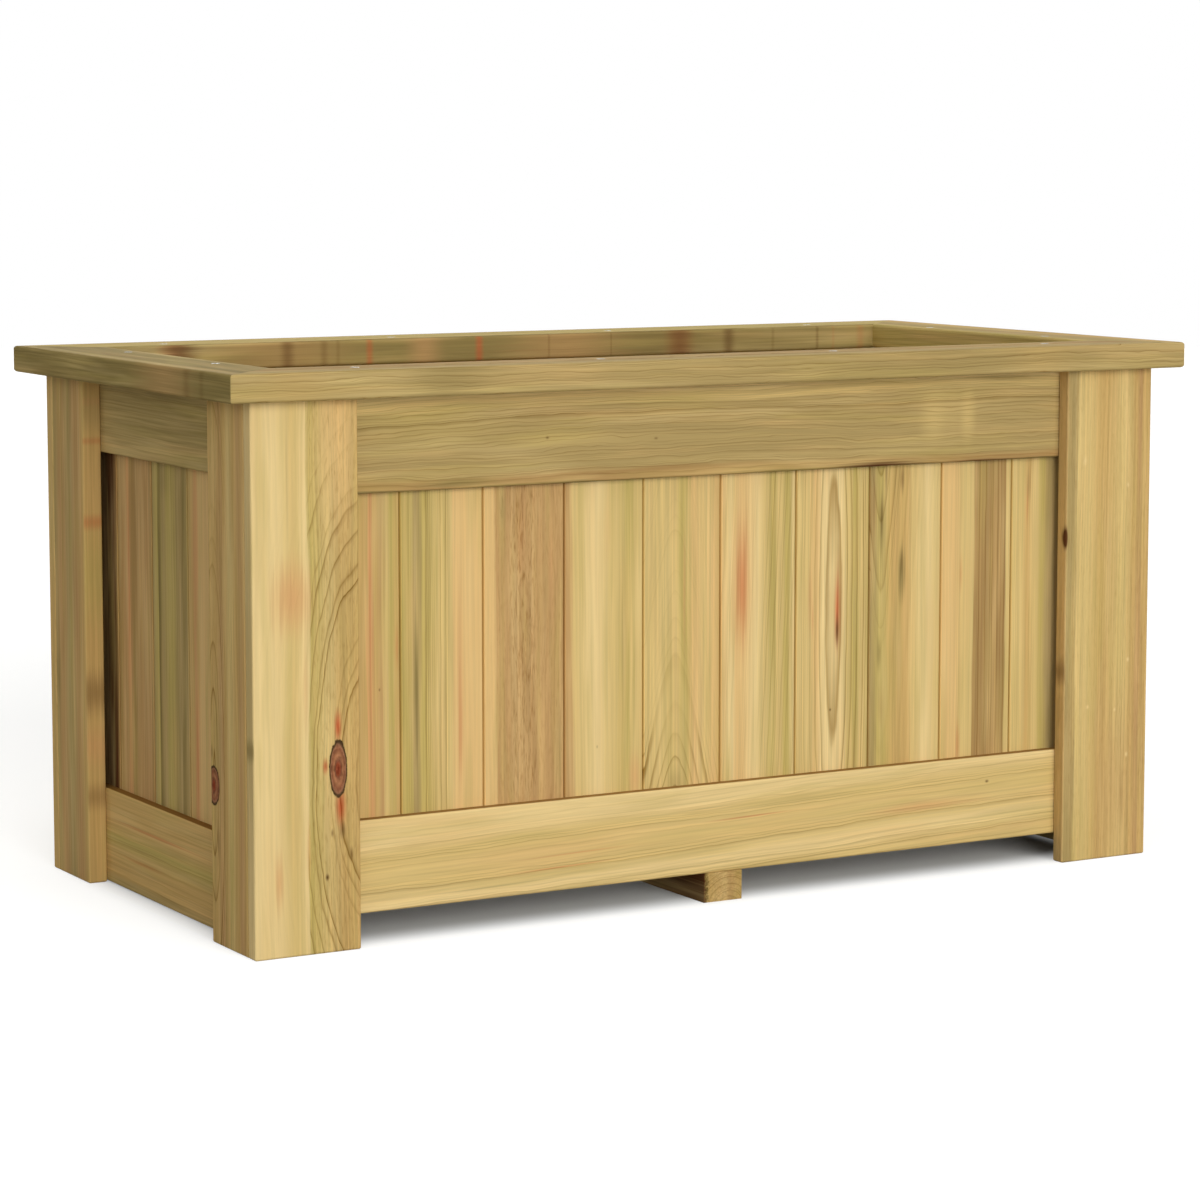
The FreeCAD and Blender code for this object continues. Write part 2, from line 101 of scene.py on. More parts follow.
# How far the fine streaks carry a colour across the grain, in mm
STREAK_REACH = 7
# Marks no longer than this, in mm, have nearly smooth edges
SHORT_MARK = 60
# How far the fibres fray the edge of a long mark and of a short one, as a share of the mark
LONG_FRAY, SHORT_FRAY = 0.8, 0.3
# How rough a knot's outline is, and how much larger the knot is drawn to make up for that
KNOT_ROUGH, KNOT_SPREAD = 0.22, 1.1
# How dark the wood is through one year, from spring to the next
YEAR = ((0.0, 0.15), (0.06, 0.0), (0.6, 0.03), (0.82, 0.45), (0.92, 1.0), (1.0, 0.15))
# How fast dry and wet years take turns, how far they push the rings, and how far one seed's rings are from the next's
SPELLS, UNEVEN_YEARS, SEED_YEARS = 0.37, 3.0, 0.37

# The wood's patterns: length along the grain and width across it, in mm. Real fibres and knot grain are
# finer, which would not show, so they are drawn coarser.
CURLS = (45, 13)
DRIFT = (330, 55)
STREAKS = (300, 5)
CLOUDS = (170, 14)
DASHES = (12, 1.4)
KNOT_GRAIN = (5, 3.5)
FIBRE_LENGTH = 130
# Where under its face the painted shade in a joint begins and where it is full, in mm
PAINTED_SHADE_DEPTHS = (0.3, 0.9)
# How much further up the tree the next board of a row was cut, in mm
NEXT_CUT = 517
# As good as endless, in mm
ENDLESS = 1e6
# The smears on the zinc coat in one metre
SMEARS = 900.0


def colour_property(code, words):
    return FloatVectorProperty(
        name=words, description=words, subtype="COLOR", size=3, min=0, max=1, default=linear(code)[:3],
    )


def lamp_property(name, where, strength):
    return FloatProperty(name=name, description=f"Strength of the lamp {where}", default=strength, min=0, max=20)


class PlanterPine(bpy.types.PropertyGroup):
    """Colours and sizes of the pine."""

    __annotations__ = {
        **{name: colour_property(*entry) for name, entry in TINTS.items()},
        "ring_width": FloatProperty(
            name="Ring width", description="Usual distance between growth rings",
            default=3.6 * MM, min=1 * MM, max=12 * MM, unit="LENGTH",
        ),
        "fibre_width": FloatProperty(
            name="Fibre width", description="Width of the fine streaks, drawn coarse enough to show",
            default=2.0 * MM, min=0.3 * MM, max=6 * MM, unit="LENGTH",
        ),
        "relief": FloatProperty(
            name="Relief", description="Depth of the grain left by the planer",
            default=0.25 * MM, min=0, max=1 * MM, unit="LENGTH",
        ),
    }


class PlanterSteel(bpy.types.PropertyGroup):
    """Colour and spangle of the screws."""

    __annotations__ = {
        "zinc": colour_property("#A6A69F", "Zinc coat"),
        "dull": colour_property("#82827B", "Duller crystals in the zinc"),
        "spangle": FloatProperty(
            name="Spangle", description="Size of the crystals in the zinc coat",
            default=1.6 * MM, min=0.2 * MM, max=10 * MM, unit="LENGTH",
        ),
    }


class PlanterStage(bpy.types.PropertyGroup):
    """Floor, lamps and camera."""

    __annotations__ = {
        "floor": colour_property("#B4B4B1", "Pale floor"),
        "floor_radius": FloatProperty(
            name="Floor radius", description="Reach of the floor from the middle of the box",
            default=9, min=1, max=50, unit="LENGTH",
        ),
        "key": lamp_property("Key lamp", "in front", 2.52),
        "side": lamp_property("Side lamp", "at the left", 0.29),
        "fill": lamp_property("Fill lamp", "at the front left", 0.54),
        "top": lamp_property("Top lamp", "above", 1.0),
        "back": lamp_property("Back lamp", "behind", 1.7),
        "sky": FloatProperty(
            name="Sky", description="Strength of the light from all round", default=0.15, min=0, max=5,
        ),
        "lens": FloatProperty(
            name="Lens", description="Focal length of the camera", default=108.318, min=10, max=500, unit="CAMERA",
        ),
    }


def add(tree, kind, inputs=None, stops=(), **settings):
    """Adds a shader node, sets it up, links or sets its inputs, and gives a colour ramp its stops."""
    node = tree.nodes.new(f"ShaderNode{kind}")
    for name, value in settings.items():
        setattr(node, name, value)
    for key, value in (inputs or {}).items():
        if isinstance(value, bpy.types.NodeSocket):
            tree.links.new(value, node.inputs[key])
        else:
            node.inputs[key].default_value = value
    for number, (place, colour) in enumerate(stops):
        if number == 0:
            node.color_ramp.elements.remove(node.color_ramp.elements[1])
        element = node.color_ramp.elements.new(place) if number else node.color_ramp.elements[0]
        element.position, element.color = place, colour
    return node


def new_material(name):
    """A material without nodes, and its node tree."""
    material = bpy.data.materials.new(name)
    material.use_nodes = True
    material.node_tree.nodes.clear()
    return material, material.node_tree


@dataclass
class Board:
    """How one board was cut from the tree.

    bands: (place across in mm, tint, how strongly the rings show) from one edge to the other.
    heart: where the middle of the tree ran, as (along, across, depth from the board's middle) in mm.
    rings: their width as a share of the usual one. contrast: how dark the late wood is.
    close: how fast the rings close along the board, 0 for straight lines. cone: how much the tree
    tapers, which makes arches that point along the board, or back where it is below 0.
    fade: (where along the board the rings show fully, where they have faded, what is left of them).
    sway, curl: how far the grain wanders over the board, and over a few centimetres, in mm.
    lean: the grain's turn on the board in degrees. flecks: how dark short dashes are.
    marks: (tint, along, across, length, width, strength). knots: (along, across, length, width).
    Either may end in (place through the board, thickness) where it doesn't run through.
    repeat: (a joint, the pitch) where one node holds several boards side by side.
    """

    along: str
    across: str
    bands: list
    heart: tuple
    rings: float = 1.0
    close: float = 0.0
    cone: float = 0.0
    contrast: float = 1.0
    fade: tuple = None
    sway: float = 5.0
    curl: float = 1.0
    lean: float = 0.0
    flecks: float = 0.0
    marks: tuple = ()
    knots: tuple = ()
    repeat: tuple = None
    seed: int = 0


def lumps(tree, place, length, width, seed, detail=2.0):
    """A noise whose lumps have a length along and a width across the grain, in mm."""
    # Each seed looks at another part of the noise.
    shift = (seed * 7.31 % 97, seed * 3.17 % 89, seed * 5.77 % 83)
    stretched = add(tree, "Mapping", {
        "Vector": place, "Location": shift, "Scale": (1 / length, 1 / width, 1 / width),
    })
    return add(tree, "TexNoise", {"Vector": stretched.outputs[0], "Scale": 1.0, "Detail": detail})


def wander(tree, place, size, seed, detail=2.0):
    """A drift to either side that changes over the board, from about -0.5 to 0.5 along each axis."""
    noise = lumps(tree, place, *size, seed, detail)
    return add(tree, "VectorMath", {0: noise.outputs["Color"], 1: (0.5,) * 3}, operation="SUBTRACT").outputs[0]


def patch(tree, place, along, across, length, width, depth=0.0, thickness=ENDLESS):
    """0 in the middle of a long patch on the board, 1 at its edge and more outside it."""
    local = add(tree, "Mapping", {
        "Vector": place, "Location": (along, across, depth), "Scale": (length / 2, width / 2, thickness / 2),
    }, vector_type="TEXTURE")
    return add(tree, "VectorMath", {0: local.outputs[0]}, operation="LENGTH").outputs["Value"]


def facing(tree, normal, axis):
    """How squarely a face looks along an axis: 1 straight on, 0 edge on."""
    share = add(tree, "VectorMath", {0: normal, 1: axis}, operation="DOT_PRODUCT").outputs["Value"]
    return add(tree, "Math", {0: share}, operation="ABSOLUTE").outputs[0]


def cut_in_turn(tree, across, place, joint, pitch):
    """The place in the tree for several boards side by side: each was cut from another length of it."""
    number = add(tree, "Math", {0: across, 1: joint}, operation="SUBTRACT")
    number = add(tree, "Math", {0: number.outputs[0], 1: pitch}, operation="DIVIDE")
    number = add(tree, "Math", {0: number.outputs[0]}, operation="FLOOR")
    step = add(tree, "VectorMath", {0: (NEXT_CUT, -pitch, 0), "Scale": number.outputs[0]}, operation="SCALE")
    return add(tree, "VectorMath", {0: place, 1: step.outputs[0]}, operation="ADD").outputs[0]


def growth_rings(tree, place, board, heart, ring_width):
    """The growth rings: 0 in the pale spring wood, rising to 1 in the dark late wood and falling sharply."""
    along = add(tree, "SeparateXYZ", {0: place}).outputs[0]
    reach = 1 / board.close if board.close else ENDLESS
    local = add(tree, "Mapping", {
        "Vector": place, "Location": heart, "Scale": (reach, 1, 1),
    }, vector_type="TEXTURE")
    radius = add(tree, "VectorMath", {0: local.outputs[0]}, operation="LENGTH").outputs["Value"]
    taper = add(tree, "Math", {
        0: along, 1: board.cone / ring_width, 2: board.seed * SEED_YEARS,
    }, operation="MULTIPLY_ADD")
    age = add(tree, "Math", {0: radius, 1: 1 / ring_width, 2: taper.outputs[0]}, operation="MULTIPLY_ADD").outputs[0]
    # Dry and wet years: the rings are unevenly wide and unevenly dark.
    years = add(tree, "TexNoise", {"W": age, "Scale": SPELLS, "Detail": 2.0}, noise_dimensions="1D").outputs[0]
    uneven = add(tree, "Math", {0: years, 1: UNEVEN_YEARS, 2: age}, operation="MULTIPLY_ADD").outputs[0]
    share = add(tree, "Math", {0: uneven}, operation="FRACT").outputs[0]
    profile = add(tree, "ValToRGB", {0: share}, stops=[(spot, (dark, dark, dark, 1)) for spot, dark in YEAR])
    strong = add(tree, "MapRange", {
        "Value": years, "From Min": 0.35, "From Max": 0.65, "To Min": 1.0, "To Max": 0.3,
    })
    return add(tree, "Math", {0: profile.outputs[0], 1: strong.outputs[0]}, operation="MULTIPLY").outputs[0]


def colour_bands(tree, board, across, edges, tints, patterns):
    """The board's own colours in bands along the grain, and how strongly the rings show in each.
    The streaks run over the bands' borders."""
    for pattern in patterns:
        across = add(tree, "Math", {0: pattern, 1: STREAK_REACH, 2: across}, operation="MULTIPLY_ADD").outputs[0]
    first, last = edges
    share = add(tree, "MapRange", {
        "Value": across, "From Min": first + STREAK_REACH, "From Max": last + STREAK_REACH,
    }).outputs[0]
    bands = add(tree, "ValToRGB", {0: share}, stops=[
        (min(max((spot - first) / (last - first), 0), 1), (*tints[tint][:3], figure))
        for spot, tint, figure in sorted(board.bands)
    ])
    bands.color_ramp.interpolation = "EASE"
    return bands.outputs


def late_wood(tree, board, place, rings, shown):
    """How dark the rings are drawn, less where the board says that they fade along it."""
    contrast = board.contrast
    if board.fade:
        full, faded, left = board.fade
        contrast = add(tree, "MapRange", {
            "Value": add(tree, "SeparateXYZ", {0: place}).outputs[0], "From Min": full, "From Max": faded,
            "To Min": board.contrast, "To Max": board.contrast * left,
        }, interpolation_type="SMOOTHSTEP").outputs[0]
    figure = add(tree, "Math", {0: rings, 1: shown}, operation="MULTIPLY")
    return add(tree, "Math", {0: figure.outputs[0], 1: contrast}, operation="MULTIPLY", use_clamp=True).outputs[0]


def fleck_dashes(tree, board, place, shown):
    """Short dark dashes along the grain, where the rings show."""
    dashes = lumps(tree, place, *DASHES, board.seed + 8, detail=3.0).outputs[0]
    amount = add(tree, "MapRange", {
        "Value": dashes, "From Min": 0.5, "From Max": 0.72, "To Max": board.flecks,
    })
    return add(tree, "Math", {0: amount.outputs[0], 1: shown}, operation="MULTIPLY").outputs[0]


def joint_faces(tree, normal, front, board_place, middle, thickness):
    """Painted shade deep in a V joint, and a painted highlight on the two planed faces of the V itself."""
    bevel = add(tree, "MapRange", {
        "Value": facing(tree, normal, front), "From Min": 0.95, "From Max": 0.85,
    }).outputs[0]
    through = add(tree, "SeparateXYZ", {0: board_place}).outputs[2]
    through = add(tree, "Math", {0: through, 1: middle}, operation="SUBTRACT")
    through = add(tree, "Math", {0: through.outputs[0]}, operation="ABSOLUTE")
    shallow, deep = (thickness / 2 - depth for depth in PAINTED_SHADE_DEPTHS)
    dust = add(tree, "MapRange", {"Value": through.outputs[0], "From Min": shallow, "From Max": deep})
    dust = add(tree, "Math", {0: bevel, 1: dust.outputs[0]}, operation="MULTIPLY").outputs[0]
    return (dust, PAINTED_JOINT_SHADE), (bevel, PAINTED_BEVEL_HIGHLIGHT)


def add_marks(tree, board, colour, board_place, fibres, tints):
    """Lays the board's stains over its colour. They run out along the fibres, so their ends are ragged."""
    for tint, along, across, length, width, strength, *deep in board.marks:
        distance = patch(tree, board_place, along, across, length, width, *deep)
        fray = LONG_FRAY if length > SHORT_MARK else SHORT_FRAY
        frayed = add(tree, "Math", {0: fibres, 1: fray, 2: distance}, operation="MULTIPLY_ADD").outputs[0]
        amount = add(tree, "MapRange", {
            "Value": frayed, "From Min": fray / 2, "From Max": fray / 2 + 0.9, "To Min": strength, "To Max": 0.0,
        }, interpolation_type="SMOOTHSTEP")
        colour = add(tree, "Mix", {0: amount.outputs[0], 6: colour, 7: tints[tint]}, data_type="RGBA").outputs[2]
    return colour


def add_knots(tree, board, colour, board_place):
    """Sets the board's knots into its colour, each a little rough in outline and tone."""
    for along, across, length, width, *deep in board.knots:
        distance = patch(tree, board_place, along, across, length * KNOT_SPREAD, width * KNOT_SPREAD, *deep)
        rough = lumps(tree, board_place, *KNOT_GRAIN, board.seed + 11, detail=3.0).outputs[0]
        distance = add(tree, "Math", {0: rough, 1: KNOT_ROUGH, 2: distance}, operation="MULTIPLY_ADD")
        knot = add(tree, "ValToRGB", {0: distance.outputs[0]}, stops=[
            (spot, linear(code, alpha)) for spot, code, alpha in KNOT
        ])
        shade = add(tree, "MapRange", {"Value": rough, "From Min": 0.3, "From Max": 0.7, "To Min": 0.7, "To Max": 1.3})
        tone = add(tree, "VectorMath", {0: knot.outputs[0], "Scale": shade.outputs[0]}, operation="SCALE")
        colour = add(tree, "Mix", {0: knot.outputs[1], 6: colour, 7: tone.outputs[0]}, data_type="RGBA").outputs[2]
    return colour


def planed_pine(name, board, joint_dust=False, edge_dust=False):
    """Pressure-impregnated Scots pine, planed: pale spring wood with darker late wood in lines and
    arches, greenish where the salts took, pinkish and orange where resin kept them out. Matt, with the
    faint ribbed relief of a planed softwood."""
    pine = bpy.context.scene.planter_pine
    low, high = (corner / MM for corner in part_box(name))
    axes = [AXES[board.along], AXES[board.across]]
    axes.append(axes[0].cross(axes[1]))
    edges = axes[1].dot(low), axes[1].dot(high)
    middle, thickness = axes[2].dot(low + high) / 2, abs(axes[2].dot(high - low))
    tints = {tint: (*getattr(pine, tint), 1.0) for tint in TINTS}
    turn = Matrix.Rotation(math.radians(board.lean), 3, "Z") @ Matrix(axes)

    material, tree = new_material(f"impregnated_pine_{name}")
    objects = add(tree, "TexCoord").outputs
    # Millimetres along the grain, across it and through the board
    board_place = add(tree, "Mapping", {
        "Vector": objects["Object"], "Rotation": turn.to_euler(), "Scale": (1 / MM,) * 3,
    }).outputs[0]
    place = add(tree, "VectorMath", {
        0: wander(tree, board_place, DRIFT, board.seed, detail=2.5), 1: (0, board.sway, board.sway), 2: board_place,
    }, operation="MULTIPLY_ADD").outputs[0]
    across = add(tree, "SeparateXYZ", {0: board_place if board.repeat else place}).outputs[1]
    if board.repeat:
        place = cut_in_turn(tree, across, place, *board.repeat)
    curled = add(tree, "VectorMath", {
        0: wander(tree, board_place, CURLS, board.seed + 1), 1: (0, 2 * board.curl, 2 * board.curl), 2: place,
    }, operation="MULTIPLY_ADD").outputs[0]

    fibres = lumps(tree, place, FIBRE_LENGTH, pine.fibre_width / MM, board.seed + 3, detail=3.0).outputs[0]
    streaks = lumps(tree, place, *STREAKS, board.seed + 4).outputs[0]
    heart = (board.heart[0], board.heart[1], middle + board.heart[2])
    rings = growth_rings(tree, curled, board, heart, board.rings * pine.ring_width / MM)
    colour, shown = colour_bands(tree, board, across, edges, tints, (fibres, streaks))

    # Uneven take-up of the salts: soft greenish, pinkish and pale lengths
    clouds = add(tree, "SeparateColor", {0: lumps(tree, place, *CLOUDS, board.seed + 5).outputs["Color"]})
    for channel, tint, most in ((0, "green", 0.6), (1, "peach", 0.5), (2, "cream", 0.35)):
        amount = add(tree, "MapRange", {
            "Value": clouds.outputs[channel], "From Min": 0.5, "From Max": 0.8, "To Max": most,
        })
        colour = add(tree, "Mix", {0: amount.outputs[0], 6: colour, 7: tints[tint]}, data_type="RGBA").outputs[2]

    # End grain drinks more of the salts and shows its rings strongly.
    end = add(tree, "MapRange", {
        "Value": facing(tree, objects["Normal"], axes[0]), "From Min": 0.6, "From Max": 0.95,
    }).outputs[0]
    strong = add(tree, "Math", {0: shown, 1: end}, operation="MAXIMUM").outputs[0]
    darker = [(end, END_GRAIN), (late_wood(tree, board, place, rings, strong), LATE_WOOD)]
    if board.flecks:
        darker.append((fleck_dashes(tree, board, curled, shown), FLECK))
    # Painted shade deep in a V joint with a painted highlight on its bevels, and painted shade on a rail's upper and
    # lower faces.
    if joint_dust:
        darker.extend(joint_faces(tree, objects["Normal"], axes[2], board_place, middle, thickness))
    # Painted shade on a rail's upper and lower faces
    if edge_dust:
        amount = add(tree, "MapRange", {
            "Value": facing(tree, objects["Normal"], axes[1]), "From Min": 0.82, "From Max": 0.97,
        })
        darker.append((amount.outputs[0], PAINTED_RAIL_SHADE))

    colour = add_marks(tree, board, colour, board_place, fibres, tints)
    for amount, tone in darker:
        colour = add(tree, "Mix", {0: amount, 6: colour, 7: tone}, data_type="RGBA", blend_type="MULTIPLY").outputs[2]
    # Fine streaks, weaker where the rings are weak
    plain = add(tree, "MapRange", {"Value": shown, "From Max": 0.7, "To Min": 0.65, "To Max": 0.0}).outputs[0]
    for pattern, darkest, lightest in ((fibres, 0.89, 1.08), (streaks, 0.95, 1.04)):
        shade = add(tree, "MapRange", {
            "Value": pattern, "From Min": 0.36, "From Max": 0.64, "To Min": darkest, "To Max": lightest,
        })
        shade = add(tree, "Mix", {0: plain, 2: shade.outputs[0], 3: 1.0})
        colour = add(tree, "VectorMath", {0: colour, "Scale": shade.outputs[0]}, operation="SCALE").outputs[0]
    colour = add_knots(tree, board, colour, board_place)

    roughness = add(tree, "MapRange", {
        "Value": fibres, "From Min": 0.25, "From Max": 0.75, "To Min": 0.92, "To Max": 0.78,
    })
    height = add(tree, "Math", {0: rings, 1: 0.5, 2: fibres}, operation="MULTIPLY_ADD")
    bump = add(tree, "Bump", {"Height": height.outputs[0], "Strength": 0.5, "Distance": pine.relief})
    shader = add(tree, "BsdfPrincipled", {
        "Base Color": colour, "Roughness": roughness.outputs[0], "Normal": bump.outputs[0],
        "IOR": 1.5, "Specular IOR Level": 0.02,
    })
    add(tree, "OutputMaterial", {0: shader.outputs[0]})
    return material


def galvanised_steel(name):
    """Zinc-plated steel: a bright metal dulled by a thin coat whose crystals differ a little in tone."""
    steel = bpy.context.scene.planter_steel
    material, tree = new_material(f"galvanised_steel_{name}")
    place = add(tree, "TexCoord").outputs["Object"]
    crystals = add(tree, "TexVoronoi", {"Vector": place, "Scale": 1 / steel.spangle})
    tone = add(tree, "SeparateColor", {0: crystals.outputs["Color"]}).outputs[0]
    smears = add(tree, "TexNoise", {"Vector": place, "Scale": SMEARS, "Detail": 3.0}).outputs[0]
    colour = add(tree, "Mix", {0: tone, 6: (*steel.zinc, 1.0), 7: (*steel.dull, 1.0)}, data_type="RGBA").outputs[2]
    roughness = add(tree, "MapRange", {"Value": smears, "To Min": 0.5, "To Max": 0.7})
    bump = add(tree, "Bump", {"Height": smears, "Strength": 0.3, "Distance": 0.05 * MM})
    shader = add(tree, "BsdfPrincipled", {
        "Base Color": colour, "Metallic": 1.0, "Roughness": roughness.outputs[0], "Normal": bump.outputs[0],
    })
    add(tree, "OutputMaterial", {0: shader.outputs[0]})
    return material


def dress(name, material):
    """Puts a material on every slot of a CAD node."""
    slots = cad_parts[name].data.materials
    if not len(slots):
        slots.append(material)
    for number in range(len(slots)):
        slots[number] = material


# Boards of one kind that nobody looks at closely are cut at random, each from its own seed.

PALETTES = {
    "slat": ("straw", "peach", "cream", "tan", "green", "straw", "brown"),
    "rail": ("olive", "olive", "green", "tan"),
    "post": ("straw", "cream", "tan", "green", "tan"),
    "inside": ("straw", "green", "tan", "olive", "straw"),
}
# Their bands are about this wide in mm, and no more than a colour ramp holds.
BAND_WIDTH, MOST_BANDS = 18, 30
# Their seeds begin past those of the boards that are written.
FIRST_SEED = 100


def chance_board(name, along, across, palette, seed):
    """A board with colours, rings and stains by chance."""
    chance = random.Random(seed)
    low, high = (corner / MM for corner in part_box(name))
    first, last = AXES[across].dot(low), AXES[across].dot(high)
    start, stop = AXES[along].dot(low), AXES[along].dot(high)
    width, length = last - first, stop - start
    tones = PALETTES[palette]
    count = min(max(2, round(width / BAND_WIDTH)), MOST_BANDS)
    bands = []
    for number in range(count + 1):
        spot = first + width * min(max((number + chance.uniform(-0.35, 0.35)) / count, 0), 1)
        bands.append((spot, chance.choice(tones), chance.uniform(0.15, 0.8)))
    marks = []
    for _ in range(chance.randint(1, 3)):
        tint = chance.choice(("rose", "rust", "moss", "cream"))
        mark_length = chance.uniform(0.15, 0.4) * length
        spot = (chance.uniform(start, stop), chance.uniform(first, last))
        marks.append((tint, *spot, mark_length, chance.uniform(4, 14), chance.uniform(0.25, 0.5)))
    knots = []
    if chance.random() < 0.35:
        knot_width = chance.uniform(8, 15)
        spot = (chance.uniform(start + 0.1 * length, stop - 0.1 * length), chance.uniform(first, last))
        knots.append((*spot, knot_width * chance.uniform(1.3, 2.2), knot_width))
        marks.append(("rust", *spot, knot_width * 5, knot_width * 1.5, 0.6))
    heart = (
        chance.uniform(start, stop),
        chance.choice((first - chance.uniform(10, 60), (first + last) / 2, last + chance.uniform(10, 60))),
        chance.choice((-1, 1)) * chance.uniform(18, 45),
    )
    return Board(
        along, across, bands, heart, rings=chance.uniform(0.6, 1.3), cone=chance.uniform(-0.1, 0.1),
        contrast=chance.uniform(0.5, 0.9), sway=chance.uniform(4, 9), marks=marks, knots=knots, seed=seed,
    )


# The slats of the back: their last joint and the distance between joints, in mm, and their number of joints
LAST_JOINT, SLAT_PITCH, JOINTS = 405, 81.5, 11


def row_of_slats(name, seed):
    """Slats side by side in one node, each with two tones of its own."""
    chance = random.Random(seed)
    board = chance_board(name, "z", "x", "slat", seed)
    low, high = (corner.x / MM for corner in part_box(name))
    joints = [LAST_JOINT - number * SLAT_PITCH for number in range(JOINTS)]
    places = sorted([low, *joints, high])
    board.bands = []
    for start, stop in zip(places, places[1:]):
        for spot in (start + 1, stop - 1):
            board.bands.append((spot, chance.choice(PALETTES["slat"]), chance.uniform(0.3, 0.8)))
    board.heart = (0, LAST_JOINT + SLAT_PITCH / 2, 22)
    board.cone, board.repeat, board.knots = 0.03, (LAST_JOINT, SLAT_PITCH), ()
    return board


# The boards that the eye rests on. Slats and posts: along z, across x or y. Rails and cap: along x or y.

